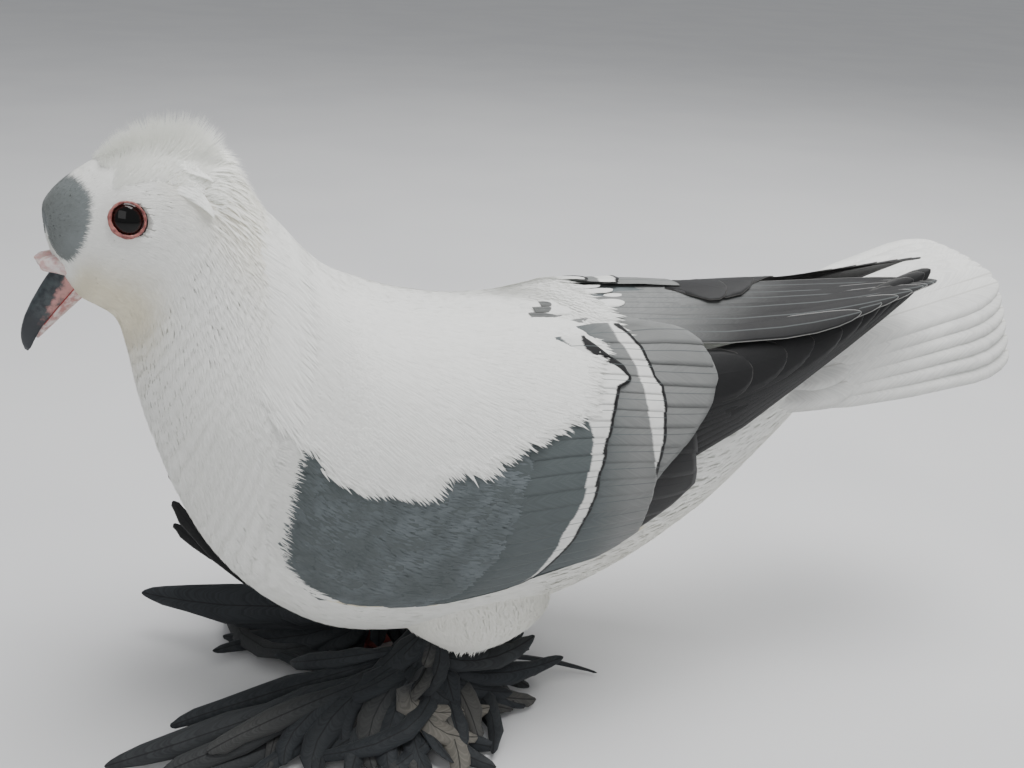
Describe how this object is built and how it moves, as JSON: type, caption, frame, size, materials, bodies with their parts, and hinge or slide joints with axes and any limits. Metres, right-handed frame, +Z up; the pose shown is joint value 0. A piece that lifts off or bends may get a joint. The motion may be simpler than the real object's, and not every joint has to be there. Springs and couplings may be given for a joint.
{
  "type": "muffed fairy swallow pigeon",
  "caption": "Still, life-size white pigeon with grey barred wing shields, a shell crest and long feathered feet, standing with its head turned a little.",
  "frame": {"origin": "on the floor, under the middle of the whole bird's bounding box", "axes": "-X the way the bird faces, +X towards its tail, -Y its left side, +Z up"},
  "size_m": [0.335, 0.1612, 0.1987],
  "materials": {
    "white_plumage": "soft matte feathers",
    "grey_plumage": "soft matte feathers",
    "dark_plumage": "matte feathers with a slight sheen",
    "bill_horn": "smooth horn",
    "bill_flesh": "smooth pale horn",
    "cere_skin": "powdery bare skin",
    "eye": "wet gloss",
    "claw": "smooth horn"
  },
  "bodies": {
    "root": {"torso": "white_plumage", "neck": "white_plumage", "head": "white_plumage", "bill_upper": "bill_horn", "bill_lower": "bill_flesh", "cere": "cere_skin", "tail": "white_plumage", "eye_left": "eye", "eye_right": "eye", "wing_left": "grey_plumage", "wing_right": "grey_plumage", "primaries_left": "dark_plumage", "primaries_right": "dark_plumage", "leg_left": "white_plumage", "leg_right": "white_plumage", "foot_left": "grey_plumage", "foot_right": "grey_plumage", "claw_left_1": "claw", "claw_left_2": "claw", "claw_left_3": "claw", "claw_left_4": "claw", "claw_right_1": "claw", "claw_right_2": "claw", "claw_right_3": "claw", "claw_right_4": "claw"}
  },
  "joints": []
}
